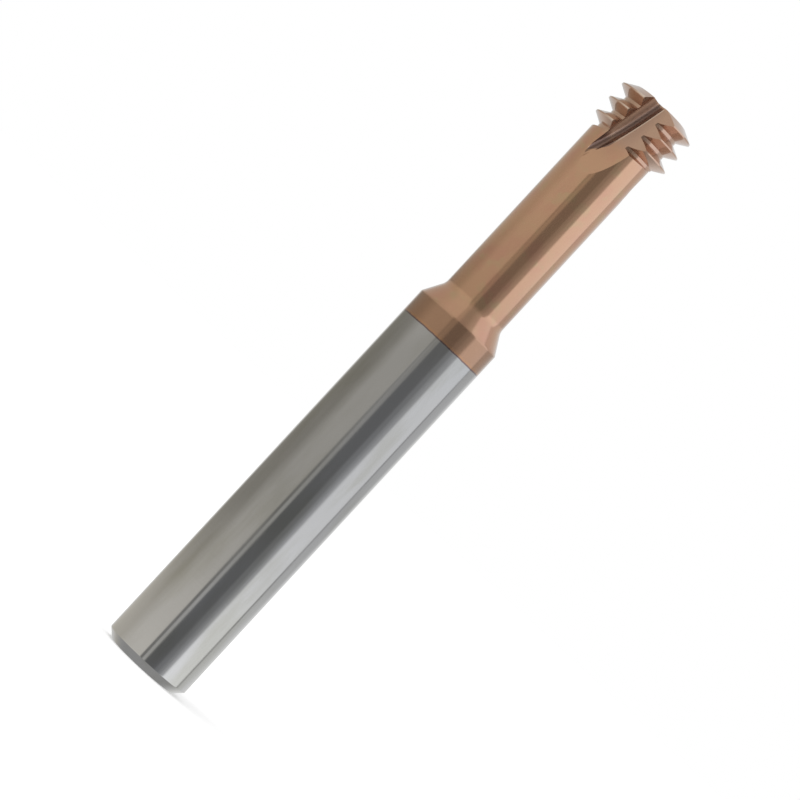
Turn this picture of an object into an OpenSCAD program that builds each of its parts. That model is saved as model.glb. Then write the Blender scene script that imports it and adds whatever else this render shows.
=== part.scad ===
// Solid carbide thread mill: a plain cylindrical shank, a slimmer neck and a
// short cutting head with rows of V teeth on fluted, relieved lands.
// Millimetres. The shank's end face lies on z = 0 and the tool points up +Z.

/* [Shank] */
// Diameter of the shank that a chuck or collet grips
shank_d = 8; // [7:0.1:12]
// Length of the shank at its full diameter, with the chamfer
shank_len = 37.4; // [25:0.05:42]
// Size of the 45 degree chamfer round the shank's end
shank_chamfer = 0.7; // [0.3:0.05:1.5]

/* [Neck] */
// Length of the whole tool
tool_len = 61.2; // [55:0.05:80]
// Diameter of the neck behind the teeth
neck_d = 5.95; // [5.2:0.05:6.5]
// Angle between the cone at the neck's foot and the axis
cone_angle = 30; // [15:1:60]
// Radius of the blend from the cone into the neck
neck_blend = 1; // [0.2:0.1:3]
// Length of the coated end, measured from the tip
coat_len = 25.9; // [10:0.05:45]

/* [Teeth] */
// Diameter of the circle that the cutting edges run on
cutting_d = 8; // [7:0.05:10]
// Distance from one row of teeth to the next
pitch = 1.5; // [1.2:0.05:2]
// Rows of teeth along the head
tooth_rows = 3; // [1:1:5]
// Angle between the two flanks of a tooth
thread_angle = 60; // [50:1:65]
// Width of the flat on each crest
crest_flat = 0.12; // [0.05:0.01:0.25]
// Width of the flat between two teeth
root_flat = 0.27; // [0.1:0.01:0.4]
// Distance from the first crest to the end face
tip_land = 0.65; // [0.3:0.05:1]
// Distance from the axis to the centre that each land is turned about
relief_offset = 0.5; // [0.1:0.05:0.7]
// Angle from a cutting edge forward to that centre
relief_lead = 57; // [30:1:80]

/* [Flutes] */
// Number of flutes, and of lands between them
flute_count = 3; // [3:1:4]
// Slant of the flutes against the axis
helix_angle = 12.5; // [0:0.5:18]
// Width of the round-bottomed groove in front of each cutting edge
groove_w = 0.85; // [0.5:0.05:1.2]
// Distance from the axis to the groove's bottom at the tip
groove_core = 1.5; // [1.2:0.05:1.8]
// Length of the groove's run-out on the neck
groove_runout = 3; // [1:0.1:6]
// Section radius of the hollow that is ground behind each land
heel_hollow = 6.5; // [4:0.1:12]
// Distance from the axis to the heel's hollow at the tip
heel_core = 1.9; // [1.7:0.05:2.2]
// Angle from the cutting face round to the middle of the hollow
heel_turn = 10.5; // [0:0.5:30]
// Length of the hollow's run-out on the neck
heel_runout = 4.4; // [1:0.05:8]

/* [Hidden] */
$fn = 96;

// Facets round a whole grinding wheel, and the arc of its rim that can reach the tool
wheel_fn = 360;
wheel_arc = 90;
// Turn of the head that brings the first flute to the front
head_turn = -114.5;
// Overlap of two solids that are fused
overlap = 0.1;

bare_colour = "#9a9a98";
coat_colour = "#a87c5e";

shank_r = shank_d / 2;
neck_r = neck_d / 2;
cutting_r = cutting_d / 2;
flank_angle = thread_angle / 2;
tooth_depth = (pitch - crest_flat - root_flat) / 2 / tan(flank_angle);
root_r = cutting_r - tooth_depth;
cone_end = shank_len + (shank_r - neck_r) / tan(cone_angle);
coat_start = tool_len - coat_len;

// Heights along the head: crests, roots and the foot of the lowest flank
first_crest = tool_len - tip_land;
last_crest = first_crest - (tooth_rows - 1) * pitch;
teeth_mid = (first_crest + last_crest) / 2;
last_root = last_crest - pitch / 2;
head_start = last_root - root_flat / 2 - tooth_depth * tan(flank_angle);

// Radius of a wheel that leaves the neck at the given distance from the tip
function wheel_r(core, runout) =
    let (length = tool_len - last_root + runout, depth = neck_r - core)
    (length * length + depth * depth) / (2 * depth);

// Radius about a land's own centre of a point that lies on the cutting face
// at radius r about the tool's axis
function turned_r(r, z) =
    let (edge = asin(tan(helix_angle) * (z - teeth_mid) / r))
    sqrt(r * r + relief_offset * relief_offset - 2 * r * relief_offset * cos(relief_lead - edge));

// Radius that every land covers, all the way back to its heel
core_r = turned_r(root_r, teeth_mid) - relief_offset;

// Half section of the shank, cone and neck, up to the head
module shaft_outline() {
    blend_len = neck_blend * tan(cone_angle / 2);
    cone_side = [sin(cone_angle), -cos(cone_angle)] * blend_len;
    difference() {
        polygon([
            [0, 0],
            [shank_r - shank_chamfer, 0],
            [shank_r, shank_chamfer],
            [shank_r, shank_len],
            [neck_r, cone_end] + cone_side,
            [neck_r, cone_end + blend_len],
            [neck_r, head_start],
            [0, head_start],
        ]);
        translate([neck_r + neck_blend, cone_end + blend_len]) circle(neck_blend);
    }
}

// Stretch of the shaft between two heights
module shaft(from, to) {
    rotate_extrude() intersection() {
        shaft_outline();
        translate([0, from]) square([shank_d, to - from]);
    }
}

// Half section of the head about a land's own centre, through all its teeth
module teeth_outline() {
    flank = tooth_depth * tan(flank_angle);
    end_r = cutting_r - (tip_land - crest_flat / 2) / tan(flank_angle);
    lowest = [[cutting_r, head_start], [root_r, head_start + flank]];
    rows = [for (row = [0:tooth_rows - 1]) let (crest = last_crest + row * pitch) each [
        [root_r, crest - crest_flat / 2 - flank],
        [cutting_r, crest - crest_flat / 2],
        [cutting_r, crest + crest_flat / 2],
        if (row < tooth_rows - 1) [root_r, crest + crest_flat / 2 + flank],
    ]];
    edge = concat(lowest, rows, [[end_r, tool_len]]);
    turned = [for (point = edge) [turned_r(point[0], point[1]), point[1]]];
    polygon(concat([[0, head_start]], turned, [[0, tool_len]]));
}

// Room that the head may fill: the neck up to the last root, then the teeth
module head_room() {
    rotate_extrude() polygon([
        [0, head_start],
        [neck_r, head_start],
        [neck_r, last_root],
        [cutting_d, last_root],
        [cutting_d, tool_len],
        [0, tool_len],
    ]);
}

// Frame of a flute's cutting face: x outward along it, y ahead of it
module flute_frame(flute) {
    rotate([0, 0, head_turn + flute * 360 / flute_count]) children();
}

// Slanted frame of a flute at the middle of the teeth
module slant() {
    translate([0, 0, teeth_mid]) rotate([-helix_angle, 0, 0]) children();
}

// Everything on one side of a plane that lies in a flute's groove
module behind_groove(gap) {
    size = 2 * tool_len;
    slant() translate([-size / 2, gap - size, -size / 2]) cube(size);
}

module ahead_of_groove(gap) {
    size = 2 * tool_len;
    slant() translate([-size / 2, gap, -size / 2]) cube(size);
}

// One relieved land with its teeth, from groove to groove
module land() {
    intersection() {
        translate([cos(relief_lead), sin(relief_lead), 0] * relief_offset)
            rotate_extrude() teeth_outline();
        head_room();
        behind_groove((groove_w + overlap) / 2);
        rotate([0, 0, -360 / flute_count]) ahead_of_groove((groove_w - overlap) / 2);
    }
}

// Place of a grinding wheel that cuts deepest level with the end face
module wheel_place(core, radius) {
    slant() translate([core + radius, 0, (tool_len - teeth_mid) / cos(helix_angle)])
        rotate([-90, 0, 0]) children();
}

// Arc of a wheel's rim on the side that faces the tool
module wheel_rim() {
    rotate_extrude(angle = wheel_arc, start = 180 - wheel_arc / 2, $fn = wheel_fn) children();
}

// Round-rimmed thin wheel that grinds a cutting face and its groove
module groove_wheel() {
    radius = wheel_r(groove_core, groove_runout);
    rim = groove_w / 2;
    wheel_place(groove_core, radius) wheel_rim() {
        square([radius - rim, groove_w]);
        translate([radius - rim, rim]) circle(rim);
    }
}

// Broad round-rimmed wheel that hollows out the heel behind a land, with its
// flat side in the groove
module heel_wheel() {
    radius = wheel_r(heel_core, heel_runout);
    intersection() {
        rotate([0, 0, heel_turn]) wheel_place(heel_core, radius) wheel_rim()
            translate([radius - heel_hollow, 0]) circle(heel_hollow);
        ahead_of_groove(groove_w / 2);
    }
}

// Cutting head before its flutes are ground
module head_blank() {
    cylinder(r = core_r, h = tool_len);
    for (flute = [0:flute_count - 1]) flute_frame(flute) land();
}

// The whole tool, ground from one rod
module thread_mill() {
    difference() {
        union() {
            color(bare_colour) shaft(0, coat_start);
            color(coat_colour) shaft(coat_start, tool_len);
            color(coat_colour) head_blank();
        }
        color(coat_colour) for (flute = [0:flute_count - 1]) flute_frame(flute) {
            groove_wheel();
            heel_wheel();
        }
    }
}

thread_mill();
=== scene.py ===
"""Looks of a solid carbide thread mill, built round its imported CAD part.

The tool is modelled in millimetres, as it is ground: a turned blank, three
relieved lands with V teeth, and two grinding wheels for each flute.  It is
brought to metres at the end.
"""

import logging
import math
from dataclasses import dataclass, field
from enum import Enum
from typing import Callable, Sequence

import bmesh
import bpy
from mathutils import Matrix, Vector


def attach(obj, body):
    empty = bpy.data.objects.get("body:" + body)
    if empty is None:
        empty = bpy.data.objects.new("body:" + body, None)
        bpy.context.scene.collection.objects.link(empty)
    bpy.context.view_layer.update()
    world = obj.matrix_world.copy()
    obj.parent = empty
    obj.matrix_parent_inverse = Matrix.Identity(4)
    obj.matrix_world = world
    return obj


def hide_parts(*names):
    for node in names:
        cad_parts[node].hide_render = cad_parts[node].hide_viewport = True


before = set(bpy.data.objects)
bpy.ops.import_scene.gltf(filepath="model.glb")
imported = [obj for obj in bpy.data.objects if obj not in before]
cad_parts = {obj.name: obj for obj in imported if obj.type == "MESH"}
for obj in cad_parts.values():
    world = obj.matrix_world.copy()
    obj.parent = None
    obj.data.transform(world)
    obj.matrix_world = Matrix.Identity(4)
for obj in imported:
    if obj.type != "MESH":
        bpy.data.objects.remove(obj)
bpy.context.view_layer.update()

log = logging.getLogger("thread_mill")

METRES_PER_MM = 0.001
CLOSE_MM = 1e-4
PLANE_MM = 1e-5

# Turn of the head that brings the first flute to the front
HEAD_TURN = math.radians(-114.5)

# Least upward share of the normal of a face that counts as level
LEVEL = 0.9

# Green and blue that a fully warm strip of the tent lacks
WARM_GREEN_LOSS = 0.05
WARM_BLUE_LOSS = 0.16

Colour = tuple[float, float, float]
Point = tuple[float, float, float]
Socket = bpy.types.NodeSocket

WHITE: Colour = (1.0, 1.0, 1.0)


class Fuse(Enum):
    """How one solid is combined with another."""

    UNION = "UNION"
    CUT = "DIFFERENCE"
    SHARED = "INTERSECT"


class Side(Enum):
    """Which side of a cutting plane is thrown away."""

    AHEAD = "clear_outer"
    BEHIND = "clear_inner"


@dataclass(frozen=True)
class Station:
    """One step of a turned outline, in millimetres."""

    radius: float
    height: float


class Bench:
    """Plain modelling moves on one object at a time."""

    @staticmethod
    def clear() -> None:
        """Leaves edit mode with nothing selected."""
        if bpy.context.mode != "OBJECT":
            bpy.ops.object.mode_set(mode="OBJECT")
        bpy.ops.object.select_all(action="DESELECT")

    @staticmethod
    def take(piece: bpy.types.Object) -> None:
        """Makes a piece the only selected and the active one."""
        Bench.clear()
        piece.select_set(True)
        bpy.context.view_layer.objects.active = piece

    @staticmethod
    def edit(piece: bpy.types.Object) -> None:
        """Opens a piece in edit mode with nothing selected in it."""
        Bench.take(piece)
        bpy.ops.object.mode_set(mode="EDIT")
        bpy.ops.mesh.select_all(action="DESELECT")

    @staticmethod
    def done() -> None:
        """Goes back to object mode."""
        bpy.ops.object.mode_set(mode="OBJECT")

    @staticmethod
    def pick_edges(piece: bpy.types.Object, wanted: Callable[[Vector, Vector], bool]) -> None:
        """Selects the edges whose two ends pass a test.

        Args:
            piece: The object that is open in edit mode.
            wanted: Test of an edge's two end points.
        """
        bpy.ops.mesh.select_mode(type="EDGE")
        mesh = bmesh.from_edit_mesh(piece.data)
        for edge in mesh.edges:
            edge.select_set(wanted(edge.verts[0].co, edge.verts[1].co))
        bmesh.update_edit_mesh(piece.data)

    @staticmethod
    def pick_cap(piece: bpy.types.Object, way: int) -> None:
        """Selects the outermost face that looks up, or down where way is -1."""
        bpy.ops.mesh.select_mode(type="FACE")
        mesh = bmesh.from_edit_mesh(piece.data)
        caps = [face for face in mesh.faces if way * face.normal.z > LEVEL]
        cap = max(caps, key=lambda face: way * face.calc_center_median().z)
        cap.select_set(True)
        bmesh.update_edit_mesh(piece.data)

    @staticmethod
    def slice(piece: bpy.types.Object, point: Vector, normal: Vector, side: Side) -> None:
        """Cuts a closed piece by a plane and caps the cut.

        Args:
            piece: The object to cut.
            point: A point on the plane.
            normal: The plane's normal, which points ahead of it.
            side: The side that goes.
        """
        Bench.edit(piece)
        bpy.ops.mesh.select_all(action="SELECT")
        bpy.ops.mesh.bisect(
            plane_co=point,
            plane_no=normal,
            use_fill=True,
            clear_inner=side is Side.BEHIND,
            clear_outer=side is Side.AHEAD,
            threshold=PLANE_MM,
        )
        Bench.done()

    @staticmethod
    def place(piece: bpy.types.Object, matrix: Matrix) -> None:
        """Moves a piece by a matrix and puts the move into its mesh."""
        Bench.take(piece)
        piece.matrix_world = matrix @ piece.matrix_world
        bpy.ops.object.transform_apply(location=True, rotation=True, scale=True)

    @staticmethod
    def copy(piece: bpy.types.Object, name: str) -> bpy.types.Object:
        """Copies a piece with a mesh of its own.

        Args:
            piece: The object to copy.
            name: The copy's name.

        Returns:
            The new object.
        """
        Bench.take(piece)
        bpy.ops.object.duplicate(linked=False)
        twin = bpy.context.object
        twin.name = name
        return twin

    @staticmethod
    def fuse(body: bpy.types.Object, other: bpy.types.Object, how: Fuse) -> None:
        """Combines another solid with a body and deletes the other one.

        Args:
            body: The object that stays.
            other: The object that is used up.
            how: Union, cut or shared room.
        """
        Bench.take(body)
        bpy.ops.object.modifier_add(type="BOOLEAN")
        modifier = body.modifiers[-1]
        modifier.operation = how.value
        modifier.solver = "EXACT"
        modifier.object = other
        bpy.ops.object.modifier_apply(modifier=modifier.name)
        spare = other.data
        bpy.data.objects.remove(other)
        bpy.data.meshes.remove(spare)


@dataclass
class Turning:
    """A solid that is turned about an upright axis of its own."""

    name: str
    stations: Sequence[Station]
    centre: tuple[float, float] = (0.0, 0.0)
    facets: int = 384

    def build(self) -> bpy.types.Object:
        """Draws a cylinder up through all stations.

        Returns:
            The closed solid.
        """
        foot, first = self.stations[:2]
        Bench.clear()
        bpy.ops.mesh.primitive_cylinder_add(
            vertices=self.facets,
            radius=foot.radius,
            depth=first.height - foot.height,
            location=(*self.centre, (foot.height + first.height) / 2),
        )
        piece = bpy.context.object
        piece.name = self.name
        bpy.ops.object.transform_apply(location=True, rotation=True, scale=True)
        Bench.edit(piece)
        Bench.pick_cap(piece, 1)
        self.resize(foot, first)
        for low, high in zip(self.stations[1:], self.stations[2:]):
            bpy.ops.mesh.extrude_region_move(
                TRANSFORM_OT_translate={"value": (0, 0, high.height - low.height)}
            )
            self.resize(low, high)
        Bench.done()
        return piece

    def resize(self, low: Station, high: Station) -> None:
        """Brings the selected ring from one station's radius to the next."""
        ratio = high.radius / low.radius
        bpy.ops.transform.resize(
            value=(ratio, ratio, 1), center_override=(*self.centre, high.height)
        )


@dataclass
class Shaft:
    """Shank, cone and neck, up to the foot of the head."""

    shank_r: float = 4.0
    shank_len: float = 37.4
    chamfer: float = 0.7
    neck_r: float = 2.975
    cone_angle: float = math.radians(30)
    neck_blend: float = 1.0
    edge_round: float = 0.05
    edge_steps: int = 5
    blend_steps: int = 10
    hold: float = 0.12
    top: float = 56.1
    rings: Sequence[float] = (46.0, 50.0, 53.0)

    @property
    def cone_end(self) -> float:
        """Height at which the bare cone would meet the neck."""
        return self.shank_len + (self.shank_r - self.neck_r) / math.tan(self.cone_angle)

    def build(self) -> bpy.types.Object:
        """Turns the blank, rounds its edges and blends the cone.

        A ring beside each edge keeps the shading of the long faces straight.

        Returns:
            The closed blank.
        """
        end_r = self.shank_r - self.chamfer
        blend = self.neck_blend * math.tan(self.cone_angle / 2)
        stations = [
            Station(end_r, 0.0),
            Station(end_r + self.hold, self.hold),
            Station(self.shank_r - self.hold, self.chamfer - self.hold),
            Station(self.shank_r, self.chamfer),
            Station(self.shank_r, self.chamfer + self.hold),
            Station(self.shank_r, self.shank_len - self.hold),
            Station(self.shank_r, self.shank_len),
            self.on_cone(self.shank_len + self.hold),
            self.on_cone(self.cone_end - blend - self.hold),
            Station(self.neck_r, self.cone_end),
            Station(self.neck_r, self.cone_end + blend + self.hold),
            *(Station(self.neck_r, height) for height in self.rings),
            Station(self.neck_r, self.top),
        ]
        blank = Turning("thread_mill_body", stations).build()
        self.round_ring(blank, self.cone_end, blend, self.blend_steps)
        for height in (0.0, self.chamfer, self.shank_len):
            self.round_ring(blank, height, self.edge_round, self.edge_steps)
        Bench.edit(blank)
        Bench.pick_cap(blank, -1)
        bpy.ops.mesh.inset(thickness=self.hold)
        Bench.done()
        return blank

    def on_cone(self, height: float) -> Station:
        """Finds the cone's step at a height."""
        return Station(
            self.neck_r + (self.cone_end - height) * math.tan(self.cone_angle), height
        )

    @staticmethod
    def round_ring(blank: bpy.types.Object, height: float, reach: float, steps: int) -> None:
        """Rounds the ring of edges that lies at one height.

        Args:
            blank: The turned blank.
            height: Where the ring is.
            reach: How far the rounding goes along each face.
            steps: Number of faces across it.
        """
        Bench.edit(blank)
        Bench.pick_edges(
            blank,
            lambda a, b: abs(a.z - height) < CLOSE_MM and abs(b.z - height) < CLOSE_MM,
        )
        bpy.ops.mesh.bevel(offset=reach, segments=steps, profile=0.5, affect="EDGES")
        Bench.done()


@dataclass
class Teeth:
    """Sizes of the V teeth and of the relief that each land is turned with."""

    tool_len: float = 61.2
    cutting_r: float = 4.0
    pitch: float = 1.5
    rows: int = 3
    flank: float = math.radians(30)
    crest_flat: float = 0.12
    root_flat: float = 0.27
    tip_land: float = 0.65
    relief_offset: float = 0.5
    relief_lead: float = math.radians(57)
    spare: float = 0.5

    @property
    def depth(self) -> float:
        """Height of a tooth from root to crest."""
        return (self.pitch - self.crest_flat - self.root_flat) / 2 / math.tan(self.flank)

    @property
    def root_r(self) -> float:
        """Radius at the root of the teeth."""
        return self.cutting_r - self.depth

    @property
    def last_crest(self) -> float:
        """Height of the lowest crest."""
        return self.tool_len - self.tip_land - (self.rows - 1) * self.pitch

    @property
    def middle(self) -> float:
        """Height of the middle of the teeth."""
        return self.last_crest + (self.rows - 1) * self.pitch / 2

    @property
    def last_root(self) -> float:
        """Height of the root below the lowest crest."""
        return self.last_crest - self.pitch / 2

    @property
    def foot(self) -> float:
        """Height at which the lowest flank starts."""
        return self.last_root - self.root_flat / 2 - self.depth * math.tan(self.flank)

    def outline(self) -> list[Station]:
        """Lists the cutting edge from the neck to beyond the end face.

        Returns:
            Stations about the tool's axis.
        """
        run = self.depth * math.tan(self.flank)
        half = self.crest_flat / 2
        edge = [Station(self.cutting_r, self.foot), Station(self.root_r, self.foot + run)]
        for row in range(self.rows):
            crest = self.last_crest + row * self.pitch
            edge.append(Station(self.root_r, crest - half - run))
            edge.append(Station(self.cutting_r, crest - half))
            edge.append(Station(self.cutting_r, crest + half))
            if row < self.rows - 1:
                edge.append(Station(self.root_r, crest + half + run))
        top = self.tool_len + self.spare
        rise = top - edge[-1].height
        edge.append(Station(self.cutting_r - rise / math.tan(self.flank), top))
        return edge


@dataclass
class Flutes:
    """Sizes of the grooves and of the hollows behind the lands."""

    count: int = 3
    helix: float = math.radians(12.5)
    groove_w: float = 0.85
    groove_core: float = 1.5
    groove_runout: float = 3.0
    heel_hollow: float = 6.5
    heel_core: float = 1.9
    heel_turn: float = math.radians(10.5)
    heel_runout: float = 4.4
    overlap: float = 0.1
    wheel_facets: int = 720
    rim_steps: int = 10
    hollow_facets: int = 192
    keep_depth: float = 5.5


@dataclass
class CuttingHead:
    """Lands, grooves and heels at the tool's tip.

    The lands' foot stands a little inside the neck, so that no two faces of
    the solids that are fused lie on each other.
    """

    neck_r: float
    foot_inset: float = 0.004
    foot_lap: float = 0.05
    teeth: Teeth = field(default_factory=Teeth)
    flutes: Flutes = field(default_factory=Flutes)

    @property
    def slant(self) -> Matrix:
        """Frame of a flute at the middle of the teeth."""
        return Matrix.Translation((0, 0, self.teeth.middle)) @ Matrix.Rotation(
            -self.flutes.helix, 4, "X"
        )

    @property
    def face_normal(self) -> Vector:
        """Direction that a cutting face looks in."""
        return self.slant.to_3x3() @ Vector((0, 1, 0))

    @property
    def step(self) -> float:
        """Angle from one flute to the next."""
        return 2 * math.pi / self.flutes.count

    def groove_point(self, gap: float) -> Vector:
        """Point of the slanted plane at a distance ahead of the cutting face."""
        return Vector((0, 0, self.teeth.middle)) + gap * self.face_normal

    def turned_radius(self, station: Station) -> float:
        """Radius about a land's own centre of a point of the cutting edge."""
        teeth = self.teeth
        lift = math.tan(self.flutes.helix) * (station.height - teeth.middle)
        edge = math.asin(lift / station.radius)
        return math.sqrt(
            station.radius**2
            + teeth.relief_offset**2
            - 2 * station.radius * teeth.relief_offset * math.cos(teeth.relief_lead - edge)
        )

    def land(self) -> bpy.types.Object:
        """Turns one relieved land and trims it from groove to groove.

        Returns:
            The land of the first flute.
        """
        teeth, flutes = self.teeth, self.flutes
        centre = (
            teeth.relief_offset * math.cos(teeth.relief_lead),
            teeth.relief_offset * math.sin(teeth.relief_lead),
        )
        turned = [Station(self.turned_radius(s), s.height) for s in teeth.outline()]
        land = Turning("land", turned, centre).build()
        Bench.slice(
            land,
            self.groove_point((flutes.groove_w + flutes.overlap) / 2),
            self.face_normal,
            Side.AHEAD,
        )
        back = Matrix.Rotation(-self.step, 4, "Z")
        Bench.slice(
            land,
            back @ self.groove_point((flutes.groove_w - flutes.overlap) / 2),
            back.to_3x3() @ self.face_normal,
            Side.BEHIND,
        )
        wide = 2 * teeth.cutting_r
        foot_r = self.neck_r - self.foot_inset
        room = [
            Station(foot_r, teeth.foot - teeth.spare),
            Station(foot_r, teeth.last_root),
            Station(wide, teeth.last_root),
            Station(wide, teeth.tool_len + 2 * teeth.spare),
        ]
        Bench.fuse(land, Turning("head_room", room).build(), Fuse.SHARED)
        return land

    def wheel_radius(self, core: float, runout: float) -> float:
        """Radius of a wheel that leaves the neck at a run-out's length."""
        length = self.teeth.tool_len - self.teeth.last_root + runout
        depth = self.neck_r - core
        return (length**2 + depth**2) / (2 * depth)

    def wheel_place(self, core: float, radius: float) -> Matrix:
        """Place of a wheel that cuts deepest level with the end face."""
        rise = (self.teeth.tool_len - self.teeth.middle) / math.cos(self.flutes.helix)
        return (
            self.slant
            @ Matrix.Translation((core + radius, 0, rise))
            @ Matrix.Rotation(-math.pi / 2, 4, "X")
        )

    def groove_wheel(self) -> bpy.types.Object:
        """Makes the thin wheel with a round rim that cuts a groove.

        Returns:
            The wheel at the first flute.
        """
        flutes = self.flutes
        radius = self.wheel_radius(flutes.groove_core, flutes.groove_runout)
        Bench.clear()
        bpy.ops.mesh.primitive_cylinder_add(
            vertices=flutes.wheel_facets,
            radius=radius,
            depth=flutes.groove_w,
            location=(0, 0, flutes.groove_w / 2),
        )
        wheel = bpy.context.object
        wheel.name = "groove_wheel"
        bpy.ops.object.transform_apply(location=True, rotation=True, scale=True)
        Bench.edit(wheel)
        Bench.pick_edges(wheel, lambda a, b: abs(a.z - b.z) < CLOSE_MM)
        bpy.ops.mesh.bevel(
            offset=flutes.groove_w / 2 - CLOSE_MM,
            segments=flutes.rim_steps,
            profile=0.5,
            affect="EDGES",
        )
        Bench.done()
        Bench.place(wheel, self.wheel_place(flutes.groove_core, radius))
        return wheel

    def heel_wheel(self) -> bpy.types.Object:
        """Makes the broad wheel that hollows out the heel of a land.

        Returns:
            The part of the wheel's rim that can reach the first flute.
        """
        flutes = self.flutes
        radius = self.wheel_radius(flutes.heel_core, flutes.heel_runout)
        Bench.clear()
        bpy.ops.mesh.primitive_torus_add(
            major_radius=radius - flutes.heel_hollow,
            minor_radius=flutes.heel_hollow,
            major_segments=flutes.wheel_facets,
            minor_segments=flutes.hollow_facets,
        )
        wheel = bpy.context.object
        wheel.name = "heel_wheel"
        Bench.slice(
            wheel,
            Vector((flutes.keep_depth - radius, 0, 0)),
            Vector((1, 0, 0)),
            Side.AHEAD,
        )
        turn = Matrix.Rotation(flutes.heel_turn, 4, "Z")
        Bench.place(wheel, turn @ self.wheel_place(flutes.heel_core, radius))
        Bench.slice(
            wheel, self.groove_point(flutes.groove_w / 2), self.face_normal, Side.BEHIND
        )
        return wheel

    def grind(self, body: bpy.types.Object) -> None:
        """Adds the lands to a blank and grinds the flutes.

        Args:
            body: The blank, which ends just above the foot of the teeth.
        """
        teeth, flutes = self.teeth, self.flutes
        root = Station(teeth.root_r, teeth.middle)
        covered = self.turned_radius(root) - teeth.relief_offset
        core = [
            Station(covered, teeth.foot - 2 * teeth.pitch),
            Station(covered, teeth.tool_len + 2 * teeth.spare),
        ]
        Bench.fuse(body, Turning("core", core).build(), Fuse.UNION)
        for make, how in (
            (self.land, Fuse.UNION),
            (self.groove_wheel, Fuse.CUT),
            (self.heel_wheel, Fuse.CUT),
        ):
            first = make()
            for flute in range(flutes.count):
                twin = Bench.copy(first, f"{first.name}_{flute}")
                Bench.place(twin, Matrix.Rotation(flute * self.step, 4, "Z"))
                Bench.fuse(body, twin, how)
            bpy.data.objects.remove(first)
        Bench.slice(body, Vector((0, 0, teeth.tool_len)), Vector((0, 0, 1)), Side.AHEAD)


@dataclass(frozen=True)
class Fade:
    """A smooth change of one value while another goes through a range."""

    low: float
    high: float
    to_low: float = 0.0
    to_high: float = 1.0


@dataclass(frozen=True)
class Pattern:
    """A noise: waves to the metre, finer layers, and a factor along each axis."""

    scale: float
    detail: float = 2.0
    stretch: Point = (1.0, 1.0, 1.0)


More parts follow.
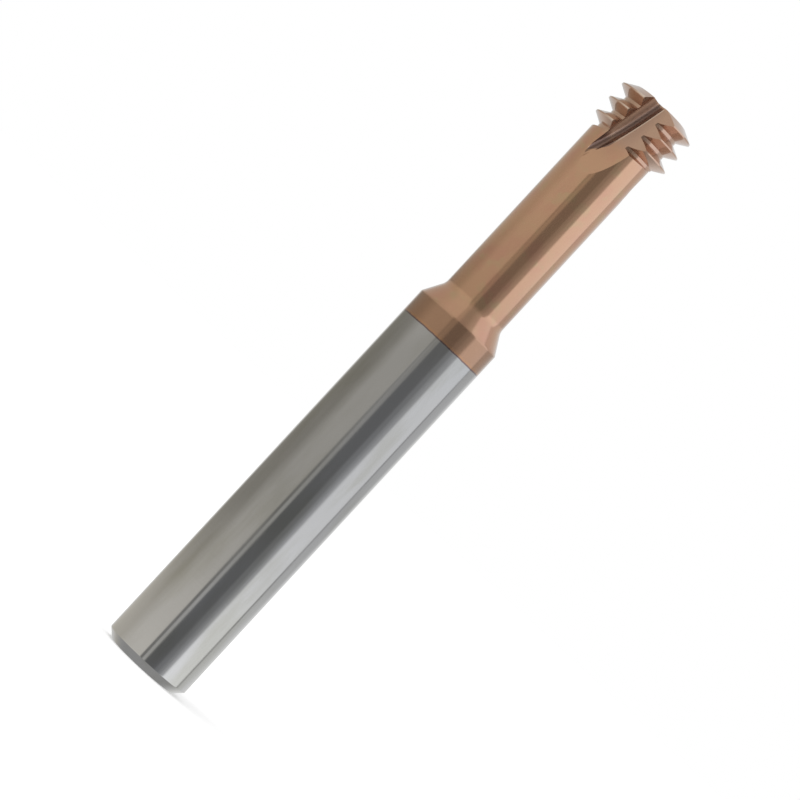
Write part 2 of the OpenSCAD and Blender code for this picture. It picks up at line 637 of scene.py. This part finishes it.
class Graph:
    """Short calls that add nodes to one node tree."""

    COLOUR_A = 6
    COLOUR_B = 7
    COLOUR_RESULT = 2

    def __init__(self, tree: bpy.types.NodeTree) -> None:
        """Keeps the tree that nodes are added to."""
        self.tree = tree

    def add(self, kind: str, **settings: object) -> bpy.types.Node:
        """Adds a node and sets its own properties.

        Args:
            kind: The node's type name without its common prefix.
            **settings: Properties of the node.

        Returns:
            The new node.
        """
        node = self.tree.nodes.new("ShaderNode" + kind)
        for name, value in settings.items():
            setattr(node, name, value)
        return node

    def feed(self, socket: Socket, value: object) -> None:
        """Links a socket to another one, or sets it to a constant."""
        if isinstance(value, Socket):
            self.tree.links.new(value, socket)
        else:
            socket.default_value = value

    def axes(self, where: Socket) -> bpy.types.NodeOutputs:
        """Splits coordinates into their X, Y and Z sockets."""
        node = self.add("SeparateXYZ")
        self.feed(node.inputs[0], where)
        return node.outputs

    def math(self, operation: str, *values: object) -> Socket:
        """Works out one number from others.

        Args:
            operation: The operation of the Math node.
            *values: Sockets or numbers, in order.

        Returns:
            The result's socket.
        """
        node = self.add("Math", operation=operation)
        for socket, value in zip(node.inputs, values):
            self.feed(socket, value)
        return node.outputs[0]

    def product(self, *values: object) -> Socket:
        """Multiplies sockets or numbers, in order."""
        result = values[0]
        for value in values[1:]:
            result = self.math("MULTIPLY", result, value)
        return result

    def fade(self, value: object, change: Fade) -> Socket:
        """Carries a value smoothly from one range to another.

        Args:
            value: The socket to read.
            change: The two ranges.

        Returns:
            The result's socket.
        """
        node = self.add("MapRange", interpolation_type="SMOOTHSTEP")
        for name, number in (
            ("Value", value),
            ("From Min", change.low),
            ("From Max", change.high),
            ("To Min", change.to_low),
            ("To Max", change.to_high),
        ):
            self.feed(node.inputs[name], number)
        return node.outputs[0]

    def mix(self, share: object, one: object, two: object) -> Socket:
        """Mixes two colours.

        Args:
            share: Share of the second colour.
            one: First colour or its socket.
            two: Second colour or its socket.

        Returns:
            The mixed colour's socket.
        """
        node = self.add("Mix", data_type="RGBA")
        self.feed(node.inputs["Factor"], share)
        for number, colour in ((self.COLOUR_A, one), (self.COLOUR_B, two)):
            value = (*colour, 1.0) if isinstance(colour, tuple) else colour
            self.feed(node.inputs[number], value)
        return node.outputs[self.COLOUR_RESULT]

    def tint(self, colour: object, factor: object) -> Socket:
        """Multiplies a colour by a factor, which may be a colour itself."""
        node = self.add("VectorMath", operation="MULTIPLY")
        self.feed(node.inputs[0], colour)
        self.feed(node.inputs[1], factor)
        return node.outputs[0]

    def noise(self, where: object, pattern: Pattern) -> Socket:
        """Makes a noise that may be stretched along the axes.

        Args:
            where: Socket of the coordinates.
            pattern: The noise's waves.

        Returns:
            The noise's socket, from 0 to 1.
        """
        mapping = self.add("Mapping")
        mapping.inputs["Scale"].default_value = pattern.stretch
        self.feed(mapping.inputs["Vector"], where)
        node = self.add("TexNoise")
        node.inputs["Scale"].default_value = pattern.scale
        node.inputs["Detail"].default_value = pattern.detail
        self.feed(node.inputs["Vector"], mapping.outputs[0])
        return node.outputs["Fac"]

    def patches(self, where: object, pattern: Pattern, change: Fade) -> Socket:
        """Makes soft patches from a noise.

        Args:
            where: Socket of the coordinates.
            pattern: The noise's waves.
            change: How the noise turns into the patches' share.

        Returns:
            The share's socket.
        """
        return self.fade(self.noise(where, pattern), change)

    def ramp(self, value: object, stops: Sequence[tuple[float, Colour]]) -> Socket:
        """Makes a ramp of colours.

        Args:
            value: Socket that runs along the ramp.
            stops: Places from 0 to 1 in order, with their colours.

        Returns:
            The colour's socket.
        """
        node = self.add("ValToRGB")
        elements = node.color_ramp.elements
        given = len(elements)
        for number, (place, colour) in enumerate(stops):
            if number < given:
                element = elements[number]
                element.position = place
            else:
                element = elements.new(place)
            element.color = (*colour, 1.0)
        self.feed(node.inputs["Fac"], value)
        return node.outputs["Color"]


@dataclass(frozen=True)
class HeadPlaces:
    """Where the coating changes on the head, and where shade and highlights are painted on it,
    in metres.

    Heights count from the shank's end, and radii from the tool's axis.
    """

    head: Fade = Fade(0.0560, 0.0572, 0.0, 0.75)
    above_neck: Fade = Fade(0.0525, 0.0540)
    below_end: Fade = Fade(0.06095, 0.06115, 1.0, 0.0)
    # Heights and radii of the painted shade in each groove's run-out slot
    slit_tip: float = 0.0540
    slit_full: float = 0.0561
    runout: Fade = Fade(0.0562, 0.0574, 0.85, 0.0)
    slit_shade_radius: Fade = Fade(0.00290, 0.002965, 1.0, 0.0)
    # Radii of the painted shade along the middle of the grooves
    groove_shade_radius: Fade = Fade(0.0018, 0.0027, 0.9, 0.0)
    wall_radius: Fade = Fade(0.0026, 0.0030, 1.0, 0.0)
    # Radii of the painted highlight on the outermost crests
    tip_radius: Fade = Fade(0.00378, 0.00397, 0.0, 0.85)


@dataclass(frozen=True)
class GroovePlaces:
    """Where a groove's surfaces lie, in metres ahead of the cutting face."""

    outward: Fade = Fade(0.0005, 0.0010)
    near: Fade = Fade(-0.00006, -0.00002)
    past: Fade = Fade(-0.00003, 0.00003, 1.0, 0.0)
    middle_share: float = 0.42
    middle: Fade = Fade(0.00008, 0.00042, 1.0, 0.35)
    rim: Fade = Fade(0.00002, 0.00006, 0.8, 0.0)
    wall: Fade = Fade(0.00008, 0.00028, 1.0, 0.0)


@dataclass(frozen=True)
class HeadMasks:
    """Shares of the head's surfaces on which the coating looks different: its own tone on the
    head, painted shade in the grooves, painted highlights on the edges, and duller metal on
    the near walls.
    """

    head: Socket
    # Share that gets painted shade in the grooves, and more roughness
    groove: Socket
    # Share that gets a painted highlight on the crests and groove rims
    edges: Socket
    wall: Socket


@dataclass(frozen=True)
class GrooveShares:
    """Shares of the grooves' slots, middles, far edges and near walls."""

    slot: Socket
    middle: Socket
    rim: Socket
    wall: Socket


@dataclass(frozen=True)
class Carbide:
    """Ground bare carbide, and the copper-bronze coating on the tool's front, with shade
    painted on the coating's lowest ring and in the grooves, and highlights painted on the
    head's edges.

    Lengths are in metres.
    """

    bare: Colour = (0.577, 0.574, 0.568)
    bare_stain: Colour = (0.475, 0.47, 0.43)
    coat: Colour = (0.61, 0.353, 0.21)
    coat_rose: Colour = (0.60, 0.315, 0.2)
    coat_gold: Colour = (0.575, 0.37, 0.21)
    # Painted shade: the coating's lowest ring, just past its edge, darkened for the shade it
    # sits in
    coat_ring_shade: Colour = (0.48, 0.275, 0.165)
    coat_head: Colour = (0.55, 0.36, 0.26)
    # Painted shade in the grooves and their run-out slots
    coat_groove_shade: Colour = (0.22, 0.13, 0.105)
    # Painted highlight on the crests and the grooves' far rims
    coat_edge_highlight: Colour = (0.84, 0.67, 0.55)
    line_dark: Colour = (0.20, 0.12, 0.115)
    line_glow: Colour = (0.56, 0.30, 0.15)

    streak_noise: Pattern = Pattern(420.0, 5.0, (1.0, 1.0, 0.22))
    streak_share: Fade = Fade(0.40, 0.72)
    rose_noise: Pattern = Pattern(520.0, 4.0, (1.0, 1.0, 0.6))
    rose_share: Fade = Fade(0.42, 0.68)
    gold_noise: Pattern = Pattern(900.0, 3.0)
    gold_share: Fade = Fade(0.52, 0.74)

    line_z: float = 0.03528
    line_noise: Pattern = Pattern(1500.0, 3.0)
    line_wave: Fade = Fade(0.2, 0.8, -0.00002, 0.00002)
    line_middle: float = 0.00001
    line_share: Fade = Fade(0.00003, 0.00009, 0.85, 0.0)
    glow_share: Fade = Fade(0.0001, 0.00035, 0.75, 0.0)
    coat_share: Fade = Fade(-0.00002, 0.00004)
    # Where the painted shade on the coating's lowest ring fades out, past the coating's edge
    ring_shade_share: Fade = Fade(0.0019, 0.0024, 0.9, 0.0)

    bare_rough: float = 0.11
    coat_rough: float = 0.13
    groove_rough: float = 0.3
    smudge_noise: Pattern = Pattern(300.0, 6.0, (1.0, 1.0, 0.5))
    smudge: Fade = Fade(0.3, 0.7, -0.03, 0.04)
    bare_metal: float = 1.0
    coat_metal: float = 0.9
    wall_dull: float = 0.7
    film: float = 1.0
    film_rough: float = 0.09

    grinding_rings: Pattern = Pattern(1000.0, 4.0, (0.35, 0.35, 6.0))
    ripple: Pattern = Pattern(2600.0, 2.0, (1.0, 1.0, 0.5))
    ripple_share: float = 0.12
    bump_strength: float = 0.016
    bump_depth: float = 0.00004

    teeth: Teeth = field(default_factory=Teeth)
    flutes: Flutes = field(default_factory=Flutes)
    on_head: HeadPlaces = HeadPlaces()
    in_groove: GroovePlaces = GroovePlaces()

    @property
    def groove_w(self) -> float:
        """Width of a groove."""
        return self.flutes.groove_w * METRES_PER_MM

    def make(self) -> bpy.types.Material:
        """Builds the material.

        Returns:
            One procedural metal that changes where the coating starts.
        """
        material = bpy.data.materials.new("ground_carbide_with_bronze_coat")
        material.use_nodes = True
        graph = Graph(material.node_tree)
        shader = material.node_tree.nodes["Principled BSDF"]
        where = graph.add("TexCoord").outputs["Object"]

        past = self.past_line(graph, where)
        coated = graph.fade(past, self.coat_share)
        masks = self.head_masks(graph, where)
        colour = self.colour(graph, where, past, coated, masks)
        graph.feed(shader.inputs["Base Color"], colour)
        roughness = self.roughness(graph, where, coated, masks.groove)
        graph.feed(shader.inputs["Roughness"], roughness)
        metal = graph.fade(coated, Fade(0.0, 1.0, self.bare_metal, self.coat_metal))
        dull = graph.product(masks.wall, self.wall_dull)
        graph.feed(shader.inputs["Metallic"], graph.math("SUBTRACT", metal, dull))
        graph.feed(shader.inputs["Normal"], self.grinding(graph, where))
        shader.inputs["Coat Weight"].default_value = self.film
        shader.inputs["Coat Roughness"].default_value = self.film_rough
        return material

    def past_line(self, graph: Graph, where: Socket) -> Socket:
        """Measures how far a point lies past the coating's slightly wavy edge.

        Args:
            graph: The material's nodes.
            where: Socket of the coordinates.

        Returns:
            The socket of the distance in metres, negative on bare metal.
        """
        shift = graph.patches(where, self.line_noise, self.line_wave)
        above = graph.math("SUBTRACT", graph.axes(where)["Z"], self.line_z)
        return graph.math("ADD", above, shift)

    def colour(
        self, graph: Graph, where: Socket, past: Socket, coated: Socket, masks: HeadMasks
    ) -> Socket:
        """Colours the bare metal, the coating and the edge between them, and paints shade on
        the coating's lowest ring and in the grooves, and highlights on the head's crests and
        groove rims.

        Args:
            graph: The material's nodes.
            where: Socket of the coordinates.
            past: Socket of the distance past the coating's edge.
            coated: Socket of the coating's share.
            masks: Where the cutting head's surfaces lie.

        Returns:
            The colour's socket.
        """
        streaks = graph.patches(where, self.streak_noise, self.streak_share)
        bare = graph.mix(streaks, self.bare, self.bare_stain)
        coat = self.coat
        for share, colour in (
            (graph.patches(where, self.rose_noise, self.rose_share), self.coat_rose),
            (graph.patches(where, self.gold_noise, self.gold_share), self.coat_gold),
            # Painted shade on the coating's lowest ring
            (graph.fade(past, self.ring_shade_share), self.coat_ring_shade),
            (masks.head, self.coat_head),
            # Painted shade in the grooves
            (masks.groove, self.coat_groove_shade),
            # Painted highlights on the crests and groove rims
            (masks.edges, self.coat_edge_highlight),
            (graph.fade(past, self.glow_share), self.line_glow),
        ):
            coat = graph.mix(share, coat, colour)
        both = graph.mix(coated, bare, coat)
        near = graph.math("ABSOLUTE", graph.math("SUBTRACT", past, self.line_middle))
        return graph.mix(graph.fade(near, self.line_share), both, self.line_dark)

    def head_masks(self, graph: Graph, where: Socket) -> HeadMasks:
        """Finds the surfaces of the head on which the coating looks different, among them the
        grooves that get painted shade and the edges that get painted highlights.

        Args:
            graph: The material's nodes.
            where: Socket of the coordinates.

        Returns:
            The shares of those surfaces.
        """
        places = self.on_head
        axes = graph.axes(where)
        height = axes["Z"]
        across = graph.product(axes["X"], axes["X"])
        along = graph.product(axes["Y"], axes["Y"])
        radius = graph.math("SQRT", graph.math("ADD", across, along))
        head = graph.fade(height, places.head)
        inside = graph.product(
            graph.fade(height, places.above_neck), graph.fade(height, places.below_end)
        )
        taper = Fade(places.slit_tip, places.slit_full, 0.0, self.groove_w)
        groove = self.grooves(graph, where, graph.fade(height, taper))
        # Painted shade along the middle of each groove, deep in the head
        deep = graph.product(graph.fade(radius, places.groove_shade_radius), groove.middle)
        # Painted shade in the slot where each groove runs out towards the neck
        slit_shade = graph.product(
            graph.fade(height, places.runout),
            graph.fade(radius, places.slit_shade_radius),
            groove.slot,
        )
        # Painted highlight on the outermost crests, and on the grooves' far rims
        tip_highlights = graph.fade(radius, places.tip_radius)
        edges = graph.math("MAXIMUM", tip_highlights, graph.product(groove.rim, head))
        below = graph.fade(radius, places.wall_radius)
        return HeadMasks(
            head=head,
            groove=graph.product(graph.math("MAXIMUM", deep, slit_shade), inside),
            edges=graph.product(edges, inside),
            wall=graph.product(groove.wall, below, head),
        )

    def grooves(self, graph: Graph, where: Socket, width: Socket) -> GrooveShares:
        """Finds the surfaces of the slanted grooves, wherever a flute is.

        Args:
            graph: The material's nodes.
            where: Socket of the coordinates.
            width: Socket of the slots' width ahead of the cutting face.

        Returns:
            The shares of the grooves' surfaces.
        """
        places = self.in_groove
        shares: list[Socket] = []
        for flute in range(self.flutes.count):
            axes = graph.axes(self.flute_frame(graph, where, flute))
            ahead = axes["Y"]
            outward = graph.fade(axes["X"], places.outward)
            beyond = graph.math("SUBTRACT", ahead, width)
            found = [
                graph.product(graph.fade(ahead, places.near), graph.fade(beyond, places.past))
            ]
            for middle, reach in (
                (places.middle_share * self.groove_w, places.middle),
                (self.groove_w, places.rim),
                (0.0, places.wall),
            ):
                off = graph.math("ABSOLUTE", graph.math("SUBTRACT", ahead, middle))
                found.append(graph.fade(off, reach))
            found = [graph.product(share, outward) for share in found]
            if shares:
                found = [graph.math("MAXIMUM", *pair) for pair in zip(shares, found)]
            shares = found
        return GrooveShares(*shares)

    def flute_frame(self, graph: Graph, where: Socket, flute: int) -> Socket:
        """Turns coordinates into a flute's own: X outward, Y ahead of its face.

        Args:
            graph: The material's nodes.
            where: Socket of the coordinates.
            flute: The flute's number.

        Returns:
            The socket of the turned coordinates.
        """
        turn = graph.add("Mapping")
        middle = self.teeth.middle * METRES_PER_MM
        turn.inputs["Location"].default_value = (0, 0, -middle)
        angle = -HEAD_TURN - flute * math.tau / self.flutes.count
        turn.inputs["Rotation"].default_value = (0, 0, angle)
        graph.feed(turn.inputs["Vector"], where)
        lean = graph.add("Mapping")
        lean.inputs["Rotation"].default_value = (self.flutes.helix, 0, 0)
        graph.feed(lean.inputs["Vector"], turn.outputs[0])
        return lean.outputs[0]

    def roughness(self, graph: Graph, where: Socket, coated: Socket, groove: Socket) -> Socket:
        """Makes the gloss uneven, as handling and grinding leave it.

        Args:
            graph: The material's nodes.
            where: Socket of the coordinates.
            coated: Socket of the coating's share.
            groove: Socket of the share of the grooves.

        Returns:
            The roughness socket.
        """
        level = graph.fade(coated, Fade(0.0, 1.0, self.bare_rough, self.coat_rough))
        smudge = graph.patches(where, self.smudge_noise, self.smudge)
        deep = graph.product(groove, self.groove_rough)
        return graph.math("ADD", graph.math("ADD", level, smudge), deep)

    def grinding(self, graph: Graph, where: Socket) -> Socket:
        """Raises the fine rings that grinding leaves round the tool.

        Args:
            graph: The material's nodes.
            where: Socket of the coordinates.

        Returns:
            The normal's socket.
        """
        rings = graph.noise(where, self.grinding_rings)
        ripple = graph.product(graph.noise(where, self.ripple), self.ripple_share)
        bump = graph.add("Bump")
        bump.inputs["Strength"].default_value = self.bump_strength
        bump.inputs["Distance"].default_value = self.bump_depth
        graph.feed(bump.inputs["Height"], graph.math("ADD", rings, ripple))
        return bump.outputs["Normal"]


@dataclass
class ThreadMill:
    """The whole tool, ground from one rod."""

    shaft: Shaft = field(default_factory=Shaft)
    finish: Carbide = field(default_factory=Carbide)
    smooth_angle: float = math.radians(12)
    piece: bpy.types.Object | None = None

    def build(self) -> bpy.types.Object:
        """Turns, grinds and cleans the tool, and brings it to metres.

        Returns:
            The finished piece.
        """
        head = CuttingHead(self.shaft.neck_r)
        self.shaft.top = head.teeth.foot + head.foot_lap
        body = self.shaft.build()
        log.info("blank: %d faces", len(body.data.polygons))
        head.grind(body)
        Bench.edit(body)
        bpy.ops.mesh.select_all(action="SELECT")
        bpy.ops.mesh.remove_doubles(threshold=CLOSE_MM)
        bpy.ops.mesh.dissolve_degenerate(threshold=CLOSE_MM)
        Bench.done()
        scale = Matrix.Scale(METRES_PER_MM, 4)
        Bench.place(body, scale @ Matrix.Rotation(HEAD_TURN, 4, "Z"))
        bpy.ops.object.shade_smooth_by_angle(angle=self.smooth_angle)
        self.piece = body
        return body

    def dress(self) -> None:
        """Gives the tool its finish and ties it to the frame."""
        self.piece.data.materials.clear()
        self.piece.data.materials.append(self.finish.make())
        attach(self.piece, "root")
        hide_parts("thread_mill")


@dataclass(frozen=True)
class Card:
    """A strip of the light tent that stands upright beside the tool.

    Azimuths are in degrees from the camera's side, and grow to its right.
    The dip is the share of its light that the strip loses where the shank
    sees it.  Its light is changed by the factor high where the shank's upper
    third sees it, and further up, beside the neck, by the factor neck and the
    warmth tint.
    """

    start: float
    end: float
    level: float
    dip: float = 0.0
    warmth: float = 0.0
    high: float = 1.0
    neck: float = 1.0
    tint: float = 0.0

    @property
    def colour(self) -> Colour:
        """The strip's own grey, warmer or cooler."""
        return self.warmed(self.level, self.warmth)

    @property
    def neck_factor(self) -> Colour:
        """Factor on the strip's light beside the neck."""
        return self.warmed(self.neck, self.tint)

    @staticmethod
    def warmed(level: float, warmth: float) -> Colour:
        """Makes a warmer grey, or a cooler one where the warmth is negative."""
        return (
            level,
            level * (1 - WARM_GREEN_LOSS * warmth),
            level * (1 - WARM_BLUE_LOSS * warmth),
        )


@dataclass
class Studio:
    """Pale floor, white surround, light tent, lamp and camera.

    Heights on the tent are in metres, or shares of its radius for the roof
    and the base.
    """

    floor_half: float = 6.0
    floor_colour: Colour = (0.8, 0.8, 0.8)
    floor_rough: float = 0.9
    floor_glow: float = 0.41
    room_level: float = 0.75
    lamp_at: Point = (-0.3, -0.25, 0.75)
    lamp_size: float = 0.5
    lamp_watts: float = 1.6
    tent_r: float = 0.9
    tent_z: float = 0.03
    tent_segments: int = 96
    tent_rings: int = 48
    dip_starts: Fade = Fade(-0.093, -0.038)
    dip_ends: Fade = Fade(0.054, 0.064, 1.0, 0.25)
    high_starts: Fade = Fade(-0.009, 0.008)
    neck_starts: Fade = Fade(0.030, 0.037)
    roof: Fade = Fade(0.3, 0.9, 0.0, 0.35)
    roof_level: float = 0.6
    base: Fade = Fade(-0.42, -0.84)
    base_level: float = 0.38
    cards: Sequence[Card] = (
        Card(-180, -160, 0.62, 0.0, 0.2),
        Card(-150, -92, 0.59, 0.52, 0.9),
        Card(-64, -19.5, 0.71, 0.38, 0.6, 1.0, 0.97),
        Card(-16.8, -12.4, 0.235, 0.1, 0.2, 1.6, 0.875, 0.6),
        Card(-10.4, -5.2, 0.54, 0.2, 0.1, 0.68, 1.1, 0.8),
        Card(-2, 25, 0.16, 0.0, -0.45, 1.0, 1.15, 0.7),
        Card(29, 36, 0.245, 0.05, -0.45, 1.0, 1.25, 0.35),
        Card(41, 44, 0.33, 0.05, -0.4, 1.1, 1.12, 0.2),
        Card(47, 51, 0.47, 0.1, -0.35, 0.95),
        Card(56, 104.5, 1.13, 0.27, -0.25, 1.0, 1.0, -0.6),
        Card(107, 110, 0.42, 0.1, -0.2, 1.0, 1.45, -0.3),
        Card(112.5, 140, 0.79, 0.32, -0.2, 1.0, 0.93, 0.3),
        Card(160, 180, 0.74, 0.0, 0.0),
    )
    camera_at: Point = (0.000728, -0.322, 0.02505)
    camera_aim: Point = (0.000728, 0.0, 0.02971)
    camera_turn: float = math.radians(47.2315)
    pixels_per_metre: float = 12440.0
    image_pixels: float = 800.0
    sensor: float = 36.0
    nearest: float = 0.01
    farthest: float = 50.0

    def floor(self) -> None:
        """Lays the pale floor, which keeps the tool's shadow."""
        Bench.clear()
        bpy.ops.mesh.primitive_plane_add(size=2 * self.floor_half)
        floor = bpy.context.object
        floor.name = "floor"
        material = bpy.data.materials.new("pale_floor")
        material.use_nodes = True
        shader = material.node_tree.nodes["Principled BSDF"]
        shader.inputs["Base Color"].default_value = (*self.floor_colour, 1)
        shader.inputs["Roughness"].default_value = self.floor_rough
        shader.inputs["Specular IOR Level"].default_value = 0.0
        shader.inputs["Emission Color"].default_value = (1, 1, 1, 1)
        shader.inputs["Emission Strength"].default_value = self.floor_glow
        floor.data.materials.append(material)
        floor.visible_glossy = False

    def room(self) -> None:
        """Makes the surround white to the camera and in reflections."""
        world = bpy.data.worlds.new("white_room")
        bpy.context.scene.world = world
        world.use_nodes = True
        graph = Graph(world.node_tree)
        background = world.node_tree.nodes["Background"]
        background.inputs["Color"].default_value = (1, 1, 1, 1)
        path = graph.add("LightPath").outputs
        mirrored = graph.math("MAXIMUM", path["Is Glossy Ray"], path["Is Transmission Ray"])
        seen = graph.math("MAXIMUM", path["Is Camera Ray"], mirrored)
        level = graph.fade(seen, Fade(0.0, 1.0, self.room_level, 1.0))
        graph.feed(background.inputs["Strength"], level)

    def lamp(self) -> None:
        """Hangs one broad soft lamp above the camera's left."""
        data = bpy.data.lights.new("soft_lamp", "AREA")
        data.shape = "DISK"
        data.size = self.lamp_size
        data.energy = self.lamp_watts
        lamp = bpy.data.objects.new("soft_lamp", data)
        bpy.context.scene.collection.objects.link(lamp)
        lamp.location = self.lamp_at
        lamp.visible_glossy = False
        lamp.rotation_euler = Vector(self.lamp_at).to_track_quat("Z", "Y").to_euler()

    def tent(self) -> None:
        """Hangs a round tent of grey and white cloth for the metal to reflect."""
        Bench.clear()
        bpy.ops.mesh.primitive_uv_sphere_add(
            segments=self.tent_segments,
            ring_count=self.tent_rings,
            radius=self.tent_r,
            location=(0, 0, self.tent_z),
        )
        tent = bpy.context.object
        tent.name = "light_tent"
        bpy.ops.object.shade_smooth()
        material = bpy.data.materials.new("tent_cloth")
        material.use_nodes = True
        nodes = material.node_tree.nodes
        nodes.remove(nodes["Principled BSDF"])
        graph = Graph(material.node_tree)
        glow = graph.add("Emission")
        graph.feed(nodes["Material Output"].inputs["Surface"], glow.outputs[0])
        graph.feed(glow.inputs["Color"], self.cloth(graph))
        tent.data.materials.append(material)
        tent.visible_camera = False
        tent.visible_diffuse = False
        tent.visible_shadow = False

    def cloth(self, graph: Graph) -> Socket:
        """Shades the tent's cloth: strips round the tool, a roof and a base.

        Args:
            graph: The cloth's nodes.

        Returns:
            The colour's socket.
        """
        where = graph.add("TexCoord").outputs["Object"]
        height = graph.axes(where)["Z"]
        turn = graph.add("Mapping")
        turn.inputs["Rotation"].default_value = (0, 0, math.radians(90))
        graph.feed(turn.inputs["Vector"], where)
        round_about = graph.add("TexGradient", gradient_type="RADIAL")
        graph.feed(round_about.inputs["Vector"], turn.outputs[0])
        way = round_about.outputs["Fac"]

        stops, dips, highs, necks = [], [], [], []
        for card in self.cards:
            for azimuth in (card.start, card.end):
                place = 0.5 + azimuth / 360
                stops.append((place, card.colour))
                dips.append((place, self.grey(card.dip)))
                highs.append((place, self.grey(card.high)))
                necks.append((place, card.neck_factor))

        dip = graph.product(
            graph.fade(height, self.dip_starts),
            graph.fade(height, self.dip_ends),
            graph.ramp(way, dips),
        )
        strips = graph.ramp(way, stops)
        for starts, factors in ((self.high_starts, highs), (self.neck_starts, necks)):
            share = graph.fade(height, starts)
            strips = graph.tint(strips, graph.mix(share, WHITE, graph.ramp(way, factors)))
        strips = graph.tint(strips, graph.math("SUBTRACT", 1.0, dip))

        share = graph.math("DIVIDE", height, self.tent_r)
        roofed = graph.mix(graph.fade(share, self.roof), strips, self.grey(self.roof_level))
        return graph.mix(graph.fade(share, self.base), roofed, self.grey(self.base_level))

    @staticmethod
    def grey(level: float) -> Colour:
        """Makes a grey of one level."""
        return (level, level, level)

    def camera(self) -> None:
        """Sets the camera to the photograph's viewing angle."""
        data = bpy.data.cameras.new("camera")
        camera = bpy.data.objects.new("camera", data)
        bpy.context.scene.collection.objects.link(camera)
        place, aim = Vector(self.camera_at), Vector(self.camera_aim)
        forward = (aim - place).normalized()
        right = forward.cross(Vector((0, 0, 1))).normalized()
        up = right.cross(forward)
        cos, sin = math.cos(self.camera_turn), math.sin(self.camera_turn)
        axes = Matrix((cos * up + sin * right, sin * up - cos * right, -forward))
        camera.matrix_world = Matrix.Translation(place) @ axes.transposed().to_4x4()
        distance = -self.camera_at[1]
        data.sensor_width = self.sensor
        data.lens = self.pixels_per_metre * distance / self.image_pixels * self.sensor
        data.clip_start = self.nearest
        data.clip_end = self.farthest
        bpy.context.scene.camera = camera

    def build(self) -> None:
        """Sets up everything round the tool."""
        bpy.context.scene.view_settings.view_transform = "Standard"
        self.floor()
        self.room()
        self.lamp()
        self.tent()
        self.camera()


def main() -> None:
    """Builds the studio and the tool, and reports each piece."""
    logging.basicConfig(level=logging.INFO, format="%(name)s: %(message)s")
    Studio().build()
    log.info("studio is set")
    mill = ThreadMill()
    piece = mill.build()
    mill.dress()
    log.info("%s: %d faces", piece.name, len(piece.data.polygons))


if __name__ == "__main__":
    main()
